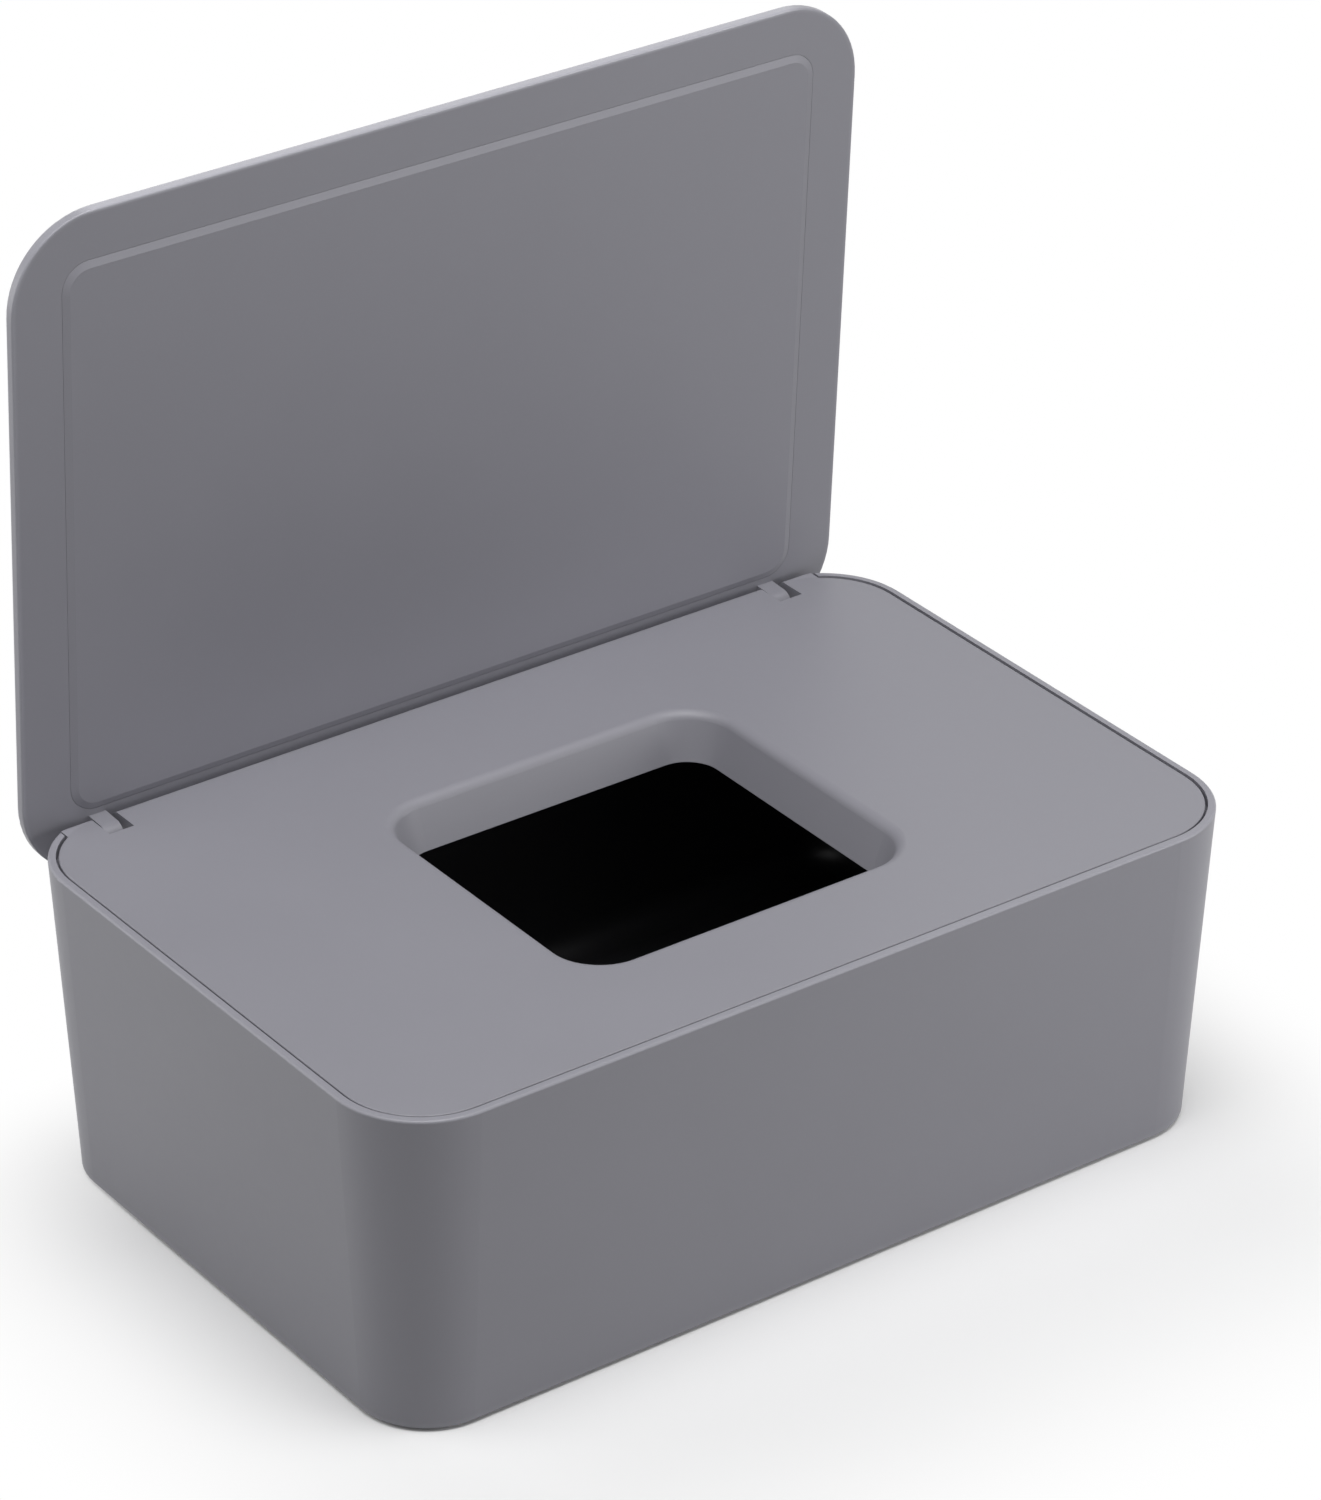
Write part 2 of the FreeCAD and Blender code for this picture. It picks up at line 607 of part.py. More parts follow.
def add_funnel(body):
    """A funnel with leaning walls hangs from the deck, open at its lip, with a rolled upper edge."""
    length = f"(mouth_length - 2 * {MOUTH_INSET})"
    depth = f"(mouth_depth - 2 * {MOUTH_INSET})"
    corner = f"(mouth_corner - {MOUTH_INSET})"
    outside = rounded_rectangle(
        body, "funnel_outside", LIP_LEVEL, f"{length} + 2 * funnel_wall",
        f"{depth} + 2 * funnel_wall", f"{corner} + funnel_wall", "mouth_forward",
    )
    block = extrude(body, "Pad", "funnel_block", outside, f"{DECK_MIDDLE} - {LIP_LEVEL}")
    block = lean_funnel(body, "funnel_lean", block, f"{DECK_UNDER} - {LIP_LEVEL}", True)
    inside = rounded_rectangle(body, "dish", DECK_TOP, length, depth, corner, "mouth_forward")
    dish = extrude(body, "Pocket", "dish_cut", inside, "mouth_drop")
    dish = lean_funnel(body, "dish_lean", dish, "mouth_drop", False)
    round_edges(body, "mouth_edge", dish, make_mouth_test(DECK_TOP), "mouth_round")


def lean_funnel(body, name, feature, depth, reverse):
    """Lean the upright faces of this depth outward above the lip, which stays as it is."""
    tall = value(depth)
    slack = value("same_place")
    lip = value(LIP_LEVEL)
    walls = []
    lips = []
    for number, face in enumerate(feature.Shape.Faces, start=1):
        box = face.BoundBox
        if abs(box.ZMin - lip) > slack:
            continue
        if abs(box.ZLength - tall) < slack:
            walls.append(f"Face{number}")
        if box.ZLength < slack:
            lips.append(f"Face{number}")
    draft = body.newObject("PartDesign::Draft", f"{body.Name}_{name}")
    draft.Base = (feature, walls)
    draft.NeutralPlane = (feature, lips[:1])
    bind(draft, "Angle", "mouth_lean * 1 deg")
    draft.Reversed = reverse
    doc.recompute()
    return draft


def make_mouth_test(level):
    """Edges of the dish, flat at a height."""
    flat = at_level(level)
    half_x = value("mouth_length / 2")
    half_y = value("mouth_depth / 2")
    forward = value("mouth_forward")

    def wanted(edge):
        middle = edge.valueAt((edge.FirstParameter + edge.LastParameter) / 2)
        return flat(edge) and abs(middle.x) < half_x and abs(middle.y + forward) < half_y

    return wanted


def cut_hinge_slots(body):
    sketch = flat_sketch(body, "slots", DECK_TOP)
    for sign, label in ((1, "right"), (-1, "left")):
        middle = f"{sign} * {SLOT_OFFSET}"
        add_box(
            sketch, label, f"{middle} - {SLOT_HALF}", f"{middle} + {SLOT_HALF}", SLOT_FRONT,
            "tub_depth / 2 + overrun",
        )
    extrude(body, "Pocket", "slot_cut", sketch, f"{DECK_TOP} - {SLOT_FLOOR}")
    start = f"({SLOT_OFFSET} - {SLOT_HALF} - ear_thick + pin_skin)"
    for sign, label in ((1, "right"), (-1, "left")):
        bore = flat_sketch(body, f"bore_{label}", f"{sign} * {start}", "YZ_Plane")
        add_circle(bore, "bore", PIN_Y, PIN_Z, "pin_diameter")
        reach = f"{FLANGE_REACH} + overrun - {start}"
        extrude(body, "Pocket", f"bore_cut_{label}", bore, reach, reverse=sign > 0)


def make_deck_seal():
    body = new_body("deck_seal")
    half_x = f"({SKIRT_HALF_X} + {SEAL_REACH})"
    half_y = f"({SKIRT_HALF_Y} + {SEAL_REACH})"
    corner = f"({SKIRT_CORNER} + {SEAL_REACH})"
    sketch = ring(body, "section", SEAL_TOP, half_x, half_y, corner, f"seal_seat + {SEAL_REACH}")
    band = extrude(body, "Pad", "band", sketch, "seal_height", reverse=True)
    outer = value(f"{SKIRT_HALF_X} - seal_seat / 2")
    outer_y = value(f"{SKIRT_HALF_Y} - seal_seat / 2")
    seat = value(f"{SKIRT_CORNER} - seal_seat / 2")

    def outside(edge):
        middle = edge.valueAt((edge.FirstParameter + edge.LastParameter) / 2)
        along_x = abs(middle.x) - (outer - seat)
        along_y = abs(middle.y) - (outer_y - seat)
        if along_x > 0 and along_y > 0:
            return Vector(along_x, along_y, 0).Length > seat
        return abs(middle.x) > outer or abs(middle.y) > outer_y

    def wanted(edge):
        return abs(edge.BoundBox.ZLength) < value("same_place") and outside(edge)

    round_edges(body, "edges", band, wanted, "seal_round")
    return body


def make_hinge_pin(name, sign):
    """The pin lies along X and starts inside the inner ear."""
    body = new_body(name)
    start = f"({SLOT_OFFSET} - {SLOT_HALF} - ear_thick + pin_skin)"
    end = f"({SLOT_OFFSET} + {SLOT_HALF} + ear_thick)"
    level = start if sign > 0 else f"-{end}"
    sketch = flat_sketch(body, "section", "0", "YZ_Plane")
    add_circle(sketch, "pin", "0", "0", "pin_diameter")
    rod = extrude(body, "Pad", "rod", sketch, f"{end} - {start}")
    chamfer = body.newObject("PartDesign::Chamfer", f"{name}_ends")
    chamfer.Base = (rod, edge_names(rod, lambda edge: len(edge.Vertexes) == 1))
    bind(chamfer, "Size", "pin_chamfer")
    bind(body, "Placement.Base.x", level)
    bind(body, "Placement.Base.y", PIN_Y)
    bind(body, "Placement.Base.z", PIN_Z)
    doc.recompute()
    return body


def add_lug_profile(sketch):
    """Knuckle round the pin and an arm up into the lid plate.

    The arm's rear side leans out, so that it lies flat on its stop when the lid is open.
    """
    radius = value("knuckle_radius")
    top = value(f"{LID_RISE} + lid_thick / 2")
    lean = math.radians(value("90 - lid_open_angle"))
    foot_y, foot_z = radius * math.cos(lean), -radius * math.sin(lean)
    head_y = foot_y + (top - foot_z) * math.tan(lean)
    knuckle = sketch.addGeometry(arc(0, 0, radius, 2 * QUARTER, 4 * QUARTER - lean))
    rear = sketch.addGeometry(line(foot_y, foot_z, head_y, top))
    head = sketch.addGeometry(line(head_y, top, -radius, top))
    front = sketch.addGeometry(line(-radius, top, -radius, 0))
    link(sketch, "Tangent", knuckle, 2, rear, 1)
    link(sketch, "Tangent", front, 2, knuckle, 1)
    link(sketch, "Coincident", rear, 2, head, 1)
    link(sketch, "Coincident", head, 2, front, 1)
    link(sketch, "Vertical", front)
    link(sketch, "Horizontal", head)
    link(sketch, "Coincident", knuckle, 3, -1, 1)
    index = sketch.addConstraint(Sketcher.Constraint("Angle", rear, QUARTER - lean))
    sketch.renameConstraint(index, "rear_angle")
    bind(sketch, "Constraints.rear_angle", "lid_open_angle * 1 deg")
    dimension(sketch, "Radius", (knuckle,), "knuckle_radius", "knuckle")
    dimension(sketch, "DistanceY", (-1, 1, head, 1), f"{LID_RISE} + lid_thick / 2", "head")
    add_circle(sketch, "bore", "0", "0", "pin_diameter + 2 * pin_clearance")


def hang_on_hinge(body):
    """The body is made closed, about the pin axis, and turned open."""
    body.Placement = Placement(Vector(0, 0, 0), Rotation(Vector(-1, 0, 0), value("lid_open_angle")))
    bind(body, "Placement.Rotation.Angle", "lid_open_angle * 1 deg")
    bind(body, "Placement.Base.y", PIN_Y)
    bind(body, "Placement.Base.z", PIN_Z)


def make_flip_lid():
    body = new_body("flip_lid")
    outline = rounded_rectangle(
        body, "outline", LID_RISE, LID_LENGTH, LID_DEPTH, "lid_corner", LID_FORWARD
    )
    plate = extrude(body, "Pad", "plate", outline, "lid_thick")
    top = round_edges(
        body, "outer_edge", plate, at_level(f"{LID_RISE} + lid_thick"), "lid_outer_round"
    )
    round_edges(body, "inner_edge", top, at_level(LID_RISE), "lid_inner_round")
    recess = flat_sketch(body, "recess", LID_RISE)
    add_inner_plate_outline(recess, "plate_gap")
    extrude(body, "Pocket", "recess_cut", recess, "plate_thick - plate_proud", reverse=True)
    for sign, label in ((1, "right"), (-1, "left")):
        profile = flat_sketch(body, f"lug_{label}", f"{sign} * {SLOT_OFFSET}", "YZ_Plane")
        add_lug_profile(profile)
        extrude(body, "Pad", f"lug_pad_{label}", profile, "lug_width", midplane=True)
    hang_on_hinge(body)
    return body


def add_inner_plate_outline(sketch, grow):
    """Outline of the inner plate, in the lid's closed frame, with a margin added."""
    half_x = f"{LID_LENGTH} / 2 - plate_side_inset + ({grow})"
    front = f"{LID_DEPTH} - {LID_BEHIND_PIN} - plate_front_inset + ({grow})"
    rear = f"{LID_BEHIND_PIN} - plate_rear_inset + ({grow})"
    corner = f"plate_corner + ({grow})"
    add_rounded_rectangle(sketch, "plate", half_x, front, rear, corner)


def make_lid_inner_plate():
    """A slab seated in the lid's recess, and a bevelled step that stands proud."""
    body = new_body("lid_inner_plate")
    slab = flat_sketch(body, "slab", LID_RISE)
    add_inner_plate_outline(slab, "0")
    extrude(body, "Pad", "slab_pad", slab, "plate_thick - plate_proud")
    foot = flat_sketch(body, "bevel_foot", LID_RISE)
    add_inner_plate_outline(foot, "0")
    face = flat_sketch(body, "bevel_face", f"{LID_RISE} - plate_proud")
    add_inner_plate_outline(face, "-plate_bevel")
    loft(body, "AdditiveLoft", "bevel", foot, face)
    hang_on_hinge(body)
    return body


def check(parts):
    for item in doc.Objects:
        if "Invalid" in item.State or "Error" in item.State:
            raise RuntimeError(f"{item.Name} failed: {item.State}")
    for body in parts:
        if body.Shape.isNull() or not body.Shape.isValid():
            raise RuntimeError(f"{body.Label} has no valid shape")


def main():
    fill_sheet()
    parts = [
        make_tub_shell(),
        make_inner_liner(),
        make_deck_cover(),
        make_deck_seal(),
        make_hinge_pin("hinge_pin_left", -1),
        make_hinge_pin("hinge_pin_right", 1),
        make_flip_lid(),
        make_lid_inner_plate(),
    ]
    for name, (side, end) in FOOT_PLACES.items():
        parts.append(make_foot(name, side, end))
    doc.recompute()
    check(parts)
    os.makedirs("parts", exist_ok=True)
    for body in parts:
        body.Shape.exportStep(f"parts/{body.Label}.step")
        box = body.Shape.BoundBox
        print(
            f"{body.Label}: {len(body.Shape.Solids)} solid, {body.Shape.Volume:.1f} mm3, "
            f"x {box.XMin:.2f} {box.XMax:.2f}, y {box.YMin:.2f} {box.YMax:.2f}, "
            f"z {box.ZMin:.2f} {box.ZMax:.2f}"
        )


main()
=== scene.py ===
import math

import bpy
from mathutils import Matrix, Vector

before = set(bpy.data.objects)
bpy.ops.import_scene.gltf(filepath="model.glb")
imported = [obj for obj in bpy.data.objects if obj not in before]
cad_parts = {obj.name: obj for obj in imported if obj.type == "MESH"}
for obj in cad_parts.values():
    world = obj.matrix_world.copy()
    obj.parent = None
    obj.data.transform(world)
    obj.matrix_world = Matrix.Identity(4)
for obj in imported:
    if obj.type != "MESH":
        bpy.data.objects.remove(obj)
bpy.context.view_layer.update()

# Countertop box for moist wipes, standing open on a pale floor. Metres, +Z up.

MM = 0.001

# The box's main sizes, as in its solids.
HALF_LENGTH = 95.0 * MM
HALF_DEPTH = 62.0 * MM
RIM_HEIGHT = 66.4 * MM
RIM_CORNER = 17.8 * MM
BASE_HEIGHT = 0.6 * MM
DECK_HEIGHT = 66.3 * MM
DECK_INSET = 1.55 * MM
PIN_Y = 58.7 * MM
PIN_Z = 63.0 * MM
LID_LEAN = math.radians(3.0)
LID_HALF_LENGTH = 92.0 * MM
LID_DEPTH = 135.0 * MM
LID_CORNER = 17.5 * MM
LID_REAR = 9.3 * MM

# Colours.
GREY = (0.297, 0.294, 0.330)
LINER_BLACK = (0.026, 0.026, 0.029)
SEAL_BLACK = (0.030, 0.030, 0.032)
FOOT_BLACK = (0.040, 0.040, 0.042)
STEEL_DARK = (0.50, 0.50, 0.51)
STEEL_LIGHT = (0.66, 0.66, 0.67)
WHITE = (1, 1, 1, 1)
FLOOR_SEEN = (0.93, 0.93, 0.93, 1)
FLOOR_UNSEEN = (0.45, 0.45, 0.45, 1)

# Noise patterns: scale in waves per metre, layers of detail, and their roughness.
MOTTLE = (34.0, 3.0, 0.55)
CLOUD = (9.0, 2.0, 0.5)
SPECKS = (2600.0, 1.0, 0.5)
SMEARS = (420.0, 2.0, 0.5)
RUBS = (160.0, 2.0, 0.5)
FINE_GRAIN = (3400.0, 2.0, 0.6)
COARSE_GRAIN = (900.0, 2.0, 0.5)
DUST = (700.0, 3.0, 0.6)
PORES = (2200.0, 2.0, 0.5)
DRAWN_LINES = (2400.0, 2.0, 0.5)
NOISE_MIDDLE = 0.5

# Moulded plastic. A tone is a factor on the plain colour.
TONE_SHARE = 0.5
TONE_DARK = 0.955
TONE_LIGHT = 1.045
SPECK_LEVELS = (0.66, 0.76)
SPECK_SHARE = 0.10
SPECK_TONE = 1.35
MOTTLE_ON_SHINE = 0.10
SMEARS_ON_SHINE = 0.06
RUB_LEAST = 0.72
RUB_VARIES = 0.5
# Edges painted paler: partly wear, partly a painted highlight.
RUB_AND_HIGHLIGHT_SHARE = 0.34
RUB_AND_HIGHLIGHT_TONE = 1.55
RUB_ON_SHINE = 0.09
FINE_SHARE = 0.65
COARSE_SHARE = 0.35
GRAIN_STRENGTH = 0.16
GRAIN_DEPTH = 0.06 * MM
# Polished lid edge: a coat, and its colour lightened as a painted highlight.
PAINTED_HIGHLIGHT_SHARE = 0.5
PAINTED_HIGHLIGHT_TONE = 1.9
POLISH_ROUGHNESS = 0.12
PLASTIC_IOR = 1.5

# Where edges are painted paler, partly as wear and partly as a painted highlight, or polished with
# a painted highlight: distances from the edge to where it starts and ends.
RIM_RUB_AND_HIGHLIGHT = (0.7 * MM, 0.15 * MM)
RIM_RUB_AND_HIGHLIGHT_SHARE = 0.6
FOOT_RUB = (0.3 * MM, 1.6 * MM)
FOOT_RUB_SHARE = 0.7
DECK_RUB_AND_HIGHLIGHT = (0.1 * MM, 0.7 * MM)
DECK_RUB_AND_HIGHLIGHT_HEIGHT = (1.2 * MM, 0.4 * MM)
DECK_RUB_AND_HIGHLIGHT_SHARE = 0.6
LID_RUB_AND_HIGHLIGHT = (0.15 * MM, 1.1 * MM)
LID_POLISH_AND_HIGHLIGHT = (0.9 * MM, 0.2 * MM)
LID_POLISH_AND_HIGHLIGHT_CORNER = 0.7

# Rubber.
DUST_LEVELS = (0.52, 0.72)
DUST_SHARE = 0.35
DUST_TONE = 2.2
RUBBER_ROUGHNESS = 0.72
DUST_ON_SHINE = 0.12
PORE_STRENGTH = 0.3
PORE_DEPTH = 0.08 * MM

# Steel. The stretch draws the lines out along X.
STEEL_ROUGHNESS = 0.26
LINES_ON_SHINE = 0.16
STEEL_STRETCH = (0.04, 1, 1)

# The camera, as fitted to the box's outlines in the photograph.
CAMERA_ANGLES = (-36.295, 29.497, 0.205)
CAMERA_AIM = (0, 0, 35 * MM)
CAMERA_DISTANCE = 1161.76 * MM
CAMERA_RIGHT = -4.48 * MM
CAMERA_UP = -41.214 * MM
CAMERA_NEAR = 50 * MM
FOCAL_PIXELS = 6303.99
PHOTO_HEIGHT = 1500
SENSOR_WIDTH = 36

# The floor is plain white away from the box, past this rectangle's edge.
FLOOR_SIZE = 30.0
FLOOR_LIFT = 0.03
SHADE_MIDDLE = (-6 * MM, -32 * MM)
SHADE_HALF = (78 * MM, 52 * MM)
SHADE_FADE = 62 * MM
WORLD_LEVEL = 0.045

# Lamps: name, place, aim, width, height, watts.
LAMPS = [
    ("lamp_top", (-0.10, -0.18, 1.10), (0, 0, 0.05), 0.9, 0.4, 6.2),
    ("lamp_top_front", (-0.05, -0.35, 1.05), (0, 0, 0.05), 0.8, 0.5, 1.76),
    ("lamp_top_left", (-0.60, 0.10, 0.80), (0, 0, 0.05), 0.5, 0.5, 0.76),
    ("lamp_high_left", (-0.50, -0.25, 0.85), (0, 0, 0.05), 0.5, 0.4, 0.78),
    ("lamp_right_near", (0.34, -0.34, 0.14), (0.04, -0.06, 0.04), 0.22, 0.20, 0.50),
    ("lamp_left_near", (-0.34, 0.26, 0.15), (-0.09, 0.02, 0.04), 0.22, 0.20, 0.29),
    ("lamp_front_near", (0.12, -0.36, 0.12), (0.03, -0.06, 0.04), 0.20, 0.15, 0.11),
]


class Nodes:
    """Adds the nodes of one tree, which it empties first."""

    def __init__(self, tree):
        self.tree = tree
        tree.nodes.clear()

    def node(self, kind, settings, sockets):
        """A node with its settings, and then its sockets' values or links."""
        node = self.tree.nodes.new(kind)
        for name, setting in settings.items():
            setattr(node, name, setting)
        for key, given in sockets.items():
            if isinstance(given, Value):
                self.tree.links.new(given.socket, node.inputs[key])
            else:
                node.inputs[key].default_value = given
        return node

    def value(self, kind, output, settings, sockets):
        """The named or numbered output of a new node."""
        return Value(self, self.node(kind, settings, sockets).outputs[output])

    def math(self, operation, *given):
        return self.value("ShaderNodeMath", 0, {"operation": operation}, dict(enumerate(given)))

    def mix_colours(self, share, first, second):
        sockets = {0: share, 6: first, 7: second}
        return self.value("ShaderNodeMix", 2, {"data_type": "RGBA"}, sockets)

    def mix_shaders(self, share, first, second):
        return self.value("ShaderNodeMixShader", 0, {}, {0: share, 1: first, 2: second})

    def place(self):
        """Object coordinates, in metres."""
        return self.value("ShaderNodeTexCoord", "Object", {}, {})

    def axes(self):
        """Object coordinates along X, Y and Z."""
        split = self.node("ShaderNodeSeparateXYZ", {}, {"Vector": self.place()})
        return [Value(self, socket) for socket in split.outputs]

    def noise(self, pattern, stretch=None):
        scale, detail, roughness = pattern
        place = self.place()
        if stretch:
            settings = {"operation": "MULTIPLY"}
            place = self.value("ShaderNodeVectorMath", "Vector", settings, {0: place, 1: stretch})
        sockets = {"Vector": place, "Scale": scale, "Detail": detail, "Roughness": roughness}
        return self.value("ShaderNodeTexNoise", "Fac", {}, sockets)

    def ramp(self, given, low, high):
        """0 below low, 1 above high, smooth between."""
        settings = {"interpolation_type": "SMOOTHSTEP"}
        sockets = {"Value": given, "From Min": low, "From Max": high}
        return self.value("ShaderNodeMapRange", "Result", settings, sockets)

    def bump(self, height, strength, depth):
        sockets = {"Height": height, "Strength": strength, "Distance": depth}
        return self.value("ShaderNodeBump", "Normal", {}, sockets)

    def seen(self):
        """1 for what the camera sees, also in gloss and through glass, and 0 for soft light."""
        path = self.node("ShaderNodeLightPath", {}, {})
        kinds = ("Is Camera Ray", "Is Glossy Ray", "Is Transmission Ray")
        camera, glossy, through = (Value(self, path.outputs[kind]) for kind in kinds)
        return camera.above(glossy).above(through)


class Value:
    """A socket that Python's operators work on."""

    def __init__(self, nodes, socket):
        self.nodes = nodes
        self.socket = socket

    def __add__(self, other):
        return self.nodes.math("ADD", self, other)

    def __radd__(self, other):
        return self.nodes.math("ADD", other, self)

    def __sub__(self, other):
        return self.nodes.math("SUBTRACT", self, other)

    def __rsub__(self, other):
        return self.nodes.math("SUBTRACT", other, self)

    def __mul__(self, other):
        return self.nodes.math("MULTIPLY", self, other)

    def __rmul__(self, other):
        return self.nodes.math("MULTIPLY", other, self)

    def __abs__(self):
        return self.nodes.math("ABSOLUTE", self)

    def above(self, other):
        return self.nodes.math("MAXIMUM", self, other)

    def below(self, other):
        return self.nodes.math("MINIMUM", self, other)


def distance_past(nodes, across, along, half_across, half_along):
    """How far a point lies outside a rectangle, and 0 inside it."""
    past_x = (abs(across) - half_across).above(0)
    past_y = (abs(along) - half_along).above(0)
    return nodes.math("SQRT", past_x * past_x + past_y * past_y)


def distance_inward(nodes, across, along, half_across, half_along, corner):
    """How far a point lies inside a rounded rectangle's edge."""
    core_across = half_across - corner
    core_along = half_along - corner
    beyond = distance_past(nodes, across, along, core_across, core_along)
    within = (abs(across) - core_across).above(abs(along) - core_along).below(0)
    return corner - beyond - within


def tub_wear_and_highlight(nodes):
    """The tub's rim, painted paler as wear and as a painted highlight, and the worn edge round its
    base.
    """
    up = nodes.axes()[2]
    rim = nodes.ramp(up, RIM_HEIGHT - RIM_RUB_AND_HIGHLIGHT[0], RIM_HEIGHT - RIM_RUB_AND_HIGHLIGHT[1])
    foot = 1 - nodes.ramp(up, BASE_HEIGHT + FOOT_RUB[0], BASE_HEIGHT + FOOT_RUB[1])
    return (rim * RIM_RUB_AND_HIGHLIGHT_SHARE).above(foot * FOOT_RUB_SHARE)


def deck_wear_and_highlight(nodes):
    """The deck's upper edge, along the seam, painted paler: partly wear, partly a painted
    highlight.
    """
    across, back, up = nodes.axes()
    inward = distance_inward(
        nodes, across, back, HALF_LENGTH - DECK_INSET, HALF_DEPTH - DECK_INSET,
        RIM_CORNER - DECK_INSET,
    )
    near_top = nodes.ramp(up, DECK_HEIGHT - DECK_RUB_AND_HIGHLIGHT_HEIGHT[0], DECK_HEIGHT - DECK_RUB_AND_HIGHLIGHT_HEIGHT[1])
    return (1 - nodes.ramp(inward, *DECK_RUB_AND_HIGHLIGHT)) * near_top * DECK_RUB_AND_HIGHLIGHT_SHARE


def lid_axes(nodes):
    """Across the lid, and along it from the pins towards its front edge, as it stands open."""
    across, back, up = nodes.axes()
    along = (up - PIN_Z) * math.cos(LID_LEAN) - (back - PIN_Y) * math.sin(LID_LEAN)
    return across, along


def lid_wear_and_highlight(nodes):
    """The edge all round the lid, painted paler: partly wear, partly a painted highlight."""
    across, along = lid_axes(nodes)
    from_middle = along - (LID_DEPTH / 2 - LID_REAR)
    inward = distance_inward(
        nodes, across, from_middle, LID_HALF_LENGTH, LID_DEPTH / 2, LID_CORNER
    )
    return 1 - nodes.ramp(inward, *LID_RUB_AND_HIGHLIGHT)


def lid_polish_and_painted_highlight(nodes):
    """The lid's front edge between its corners, where fingers lift it: a glossy coat, and its
    colour lightened as a painted highlight.
    """
    across, along = lid_axes(nodes)
    front = LID_DEPTH - LID_REAR
    near_front = nodes.ramp(along, front - LID_POLISH_AND_HIGHLIGHT[0], front - LID_POLISH_AND_HIGHLIGHT[1])
    corner_start = LID_HALF_LENGTH - LID_CORNER
    corner_end = LID_HALF_LENGTH - LID_POLISH_AND_HIGHLIGHT_CORNER * LID_CORNER
    return near_front * (1 - nodes.ramp(abs(across), corner_start, corner_end))


def shade(colour, tone=1.0):
    """The colour times a tone, with alpha."""
    return [min(1, channel * tone) for channel in colour] + [1]


def material_nodes(name):
    material = bpy.data.materials.new(name)
    material.use_nodes = True
    return material, Nodes(material.node_tree)


def plastic(name, colour, roughness, grain=1.0, wear_and_highlight=None, polish_and_highlight=None):
    """Moulded satin plastic: fine spark-eroded grain, faint mottling, and edges painted paler as
    wear and as a painted highlight.

    The edge mask takes the nodes and gives 1 where an edge is painted paler and 0 elsewhere;
    the polish mask does the same for an edge made shiny, whose colour is also a painted highlight.
    """
    material, nodes = material_nodes(name)
    mottle = nodes.noise(MOTTLE)
    cloud = nodes.noise(CLOUD)
    tone = NOISE_MIDDLE + (mottle - NOISE_MIDDLE) * TONE_SHARE
    tone = tone + (cloud - NOISE_MIDDLE) * TONE_SHARE
    base = nodes.mix_colours(tone, shade(colour, TONE_DARK), shade(colour, TONE_LIGHT))
    specks = nodes.ramp(nodes.noise(SPECKS), *SPECK_LEVELS)
    base = nodes.mix_colours(specks * SPECK_SHARE, base, shade(colour, SPECK_TONE))
    shine = roughness + (mottle - NOISE_MIDDLE) * MOTTLE_ON_SHINE
    shine = shine + (nodes.noise(SMEARS) - NOISE_MIDDLE) * SMEARS_ON_SHINE
    if wear_and_highlight:
        # Rubbed edges painted paler: partly wear, partly a painted highlight.
        rubbed_and_highlight = wear_and_highlight(nodes) * (RUB_LEAST + nodes.noise(RUBS) * RUB_VARIES)
        base = nodes.mix_colours(rubbed_and_highlight * RUB_AND_HIGHLIGHT_SHARE, base, shade(colour, RUB_AND_HIGHLIGHT_TONE))
        shine = shine - rubbed_and_highlight * RUB_ON_SHINE
    coat_and_highlight = 0.0
    if polish_and_highlight:
        coat_and_highlight = polish_and_highlight(nodes)
        # The polished edge is also painted paler: a painted highlight.
        base = nodes.mix_colours(coat_and_highlight * PAINTED_HIGHLIGHT_SHARE, base, shade(colour, PAINTED_HIGHLIGHT_TONE))
    texture = nodes.noise(FINE_GRAIN) * FINE_SHARE + nodes.noise(COARSE_GRAIN) * COARSE_SHARE
    sockets = {
        "Base Color": base,
        "Roughness": shine,
        "Normal": nodes.bump(texture, GRAIN_STRENGTH * grain, GRAIN_DEPTH),
        "IOR": PLASTIC_IOR,
        "Coat Weight": coat_and_highlight,
        "Coat Roughness": POLISH_ROUGHNESS,
    }
    finish_material(nodes, nodes.value("ShaderNodeBsdfPrincipled", 0, {}, sockets))
    return material


def rubber(name, colour):
    """Matt rubber with fine pores and dust."""
    material, nodes = material_nodes(name)
    dust = nodes.ramp(nodes.noise(DUST), *DUST_LEVELS)
    sockets = {
        "Base Color": nodes.mix_colours(dust * DUST_SHARE, shade(colour), shade(colour, DUST_TONE)),
        "Roughness": RUBBER_ROUGHNESS + dust * DUST_ON_SHINE,
        "Normal": nodes.bump(nodes.noise(PORES), PORE_STRENGTH, PORE_DEPTH),
    }
    finish_material(nodes, nodes.value("ShaderNodeBsdfPrincipled", 0, {}, sockets))
    return material


def steel(name):
    """Drawn wire: fine scratches along X."""
    material, nodes = material_nodes(name)
    lines = nodes.noise(DRAWN_LINES, STEEL_STRETCH)
    sockets = {
        "Base Color": nodes.mix_colours(lines, shade(STEEL_DARK), shade(STEEL_LIGHT)),
        "Roughness": STEEL_ROUGHNESS + lines * LINES_ON_SHINE,
        "Metallic": 1.0,
    }
    finish_material(nodes, nodes.value("ShaderNodeBsdfPrincipled", 0, {}, sockets))
    return material


def finish_material(nodes, shader):
    nodes.node("ShaderNodeOutputMaterial", {}, {"Surface": shader})


def dress(node, material):
    """Puts a material in all of a CAD node's slots."""
    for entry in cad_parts[node].material_slots:
        entry.material = material


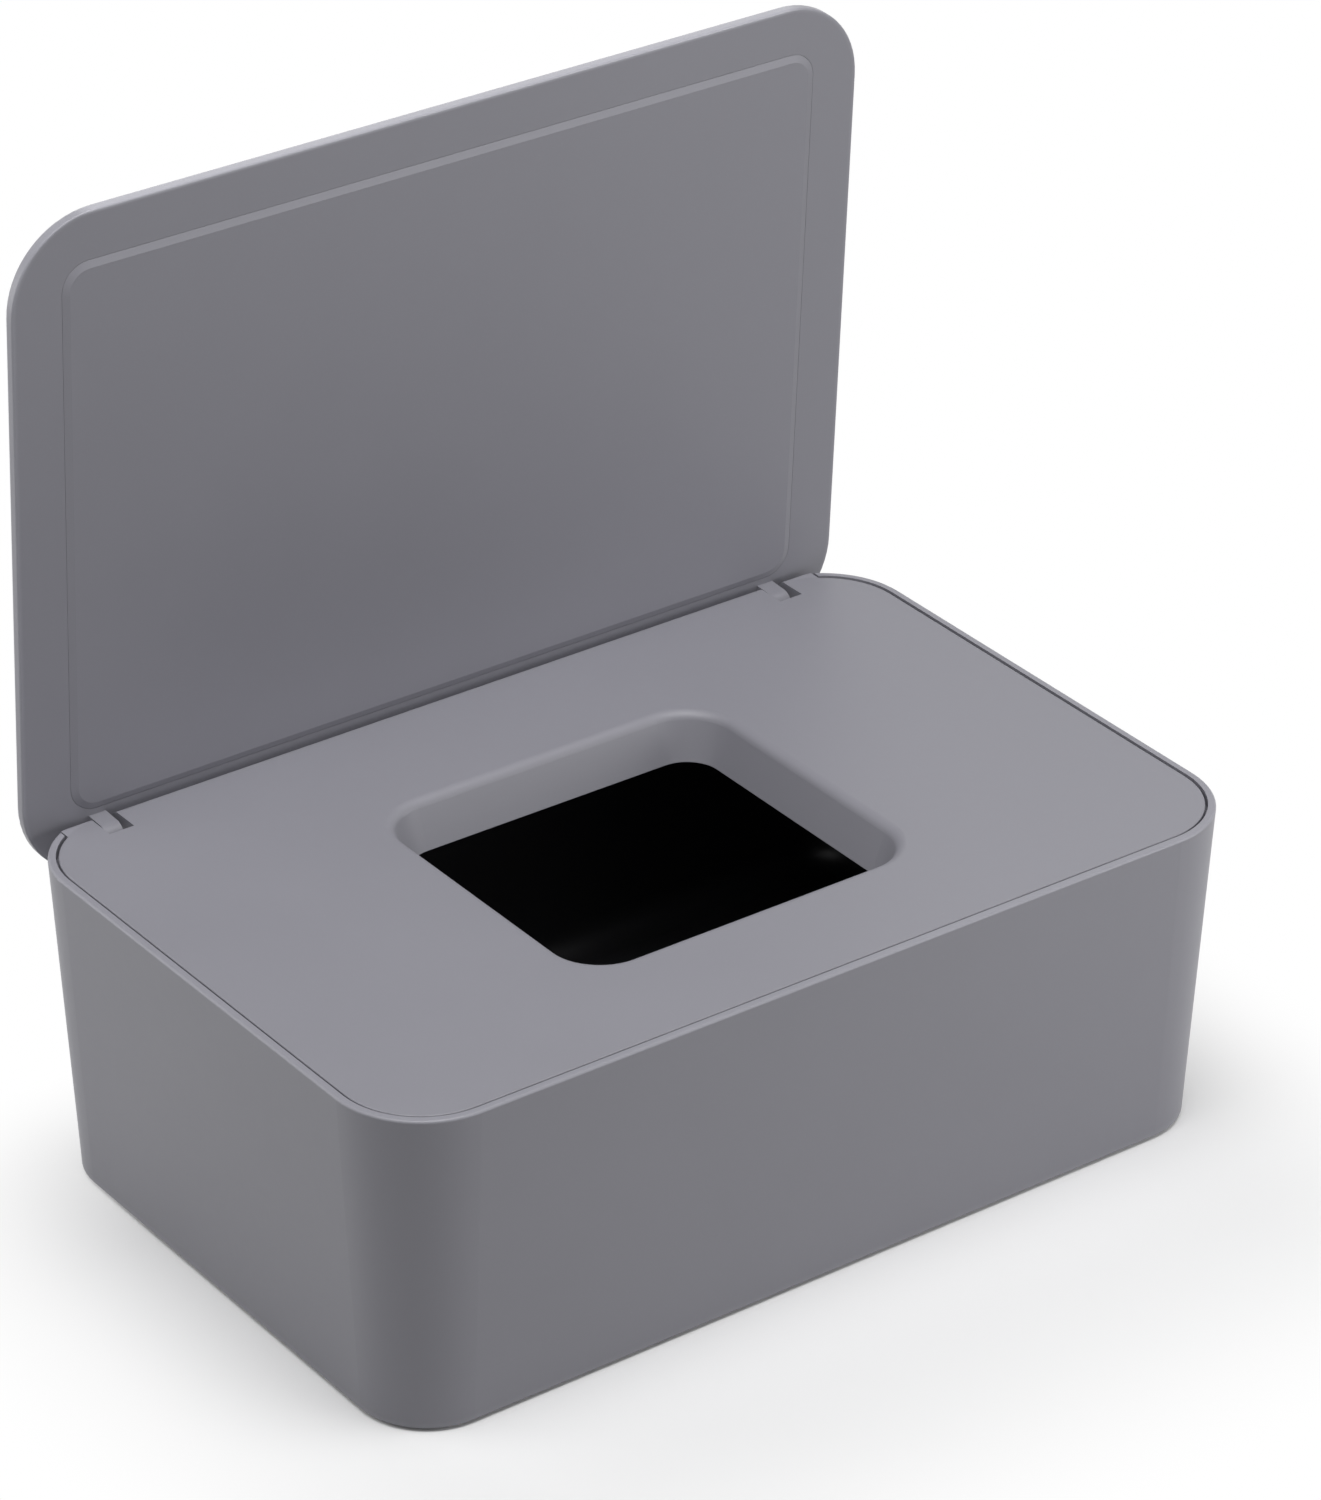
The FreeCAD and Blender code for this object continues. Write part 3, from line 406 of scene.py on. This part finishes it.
def dress_all():
    dress("tub_shell", plastic("tub_satin", GREY, roughness=0.44, wear_and_highlight=tub_wear_and_highlight))
    dress("deck_cover", plastic("deck_satin", GREY, roughness=0.46, wear_and_highlight=deck_wear_and_highlight))
    lid_satin = plastic("lid_satin", GREY, roughness=0.44, wear_and_highlight=lid_wear_and_highlight, polish_and_highlight=lid_polish_and_painted_highlight)
    dress("flip_lid", lid_satin)
    dress("lid_inner_plate", plastic("plate_satin", GREY, roughness=0.47))
    dress("inner_liner", plastic("liner_black", LINER_BLACK, roughness=0.42, grain=0.7))
    dress("deck_seal", rubber("seal_rubber", SEAL_BLACK))
    foot_rubber = rubber("foot_rubber", FOOT_BLACK)
    for name in ("foot_front_left", "foot_front_right", "foot_rear_left", "foot_rear_right"):
        dress(name, foot_rubber)
    pin_steel = steel("pin_steel")
    for name in ("hinge_pin_left", "hinge_pin_right"):
        dress(name, pin_steel)


def make_floor():
    """A pale floor that keeps the box's shadow and is plain white away from it."""
    material, nodes = material_nodes("floor_pale")
    unseen = nodes.value("ShaderNodeBsdfDiffuse", 0, {}, {"Color": FLOOR_UNSEEN})
    bright = nodes.value("ShaderNodeBsdfDiffuse", 0, {}, {"Color": FLOOR_SEEN})
    lift = nodes.value("ShaderNodeEmission", 0, {}, {"Color": WHITE, "Strength": FLOOR_LIFT})
    shaded = nodes.value("ShaderNodeAddShader", 0, {}, {0: bright, 1: lift})
    white = nodes.value("ShaderNodeEmission", 0, {}, {"Color": WHITE, "Strength": 1.0})
    across, along = nodes.axes()[:2]
    away = distance_past(
        nodes, across - SHADE_MIDDLE[0], along - SHADE_MIDDLE[1], SHADE_HALF[0], SHADE_HALF[1]
    )
    fading = nodes.mix_shaders(nodes.ramp(away, 0, SHADE_FADE), shaded, white)
    finish_material(nodes, nodes.mix_shaders(nodes.seen(), unseen, fading))
    bpy.ops.object.select_all(action="DESELECT")
    bpy.ops.mesh.primitive_plane_add(size=FLOOR_SIZE, location=(0, 0, 0))
    floor = bpy.context.object
    floor.name = "floor"
    floor.data.materials.append(material)


def make_world():
    """Faint soft light from all round, and white where the camera sees it."""
    world = bpy.data.worlds.new("studio")
    world.use_nodes = True
    nodes = Nodes(world.node_tree)
    soft = nodes.value("ShaderNodeBackground", 0, {}, {"Color": WHITE, "Strength": WORLD_LEVEL})
    white = nodes.value("ShaderNodeBackground", 0, {}, {"Color": WHITE, "Strength": 1.0})
    both = nodes.mix_shaders(nodes.seen(), soft, white)
    nodes.node("ShaderNodeOutputWorld", {}, {"Surface": both})
    bpy.context.scene.world = world


def add_lamp(name, place, aim, width, height, watts):
    data = bpy.data.lights.new(name, "AREA")
    data.shape = "RECTANGLE"
    data.size = width
    data.size_y = height
    data.energy = watts
    lamp = bpy.data.objects.new(name, data)
    bpy.context.collection.objects.link(lamp)
    lamp.location = place
    lamp.rotation_euler = (Vector(aim) - Vector(place)).to_track_quat("-Z", "Y").to_euler()


def make_camera():
    """The photograph's viewpoint."""
    azimuth, elevation, roll = (math.radians(angle) for angle in CAMERA_ANGLES)
    back = Vector((
        math.sin(azimuth) * math.cos(elevation),
        -math.cos(azimuth) * math.cos(elevation),
        math.sin(elevation),
    ))
    level = (-back).cross(Vector((0, 0, 1))).normalized()
    upright = level.cross(-back)
    right = level * math.cos(roll) + upright * math.sin(roll)
    up = upright * math.cos(roll) - level * math.sin(roll)
    place = Vector(CAMERA_AIM) + back * CAMERA_DISTANCE - right * CAMERA_RIGHT - up * CAMERA_UP
    data = bpy.data.cameras.new("photo_view")
    data.lens = FOCAL_PIXELS / PHOTO_HEIGHT * SENSOR_WIDTH
    data.clip_start = CAMERA_NEAR
    camera = bpy.data.objects.new("photo_view", data)
    bpy.context.collection.objects.link(camera)
    turn = Matrix((right, up, back)).transposed().to_4x4()
    camera.matrix_world = Matrix.Translation(place) @ turn
    bpy.context.scene.camera = camera


dress_all()
make_floor()
make_world()
for lamp in LAMPS:
    add_lamp(*lamp)
make_camera()
bpy.context.scene.view_settings.view_transform = "Standard"
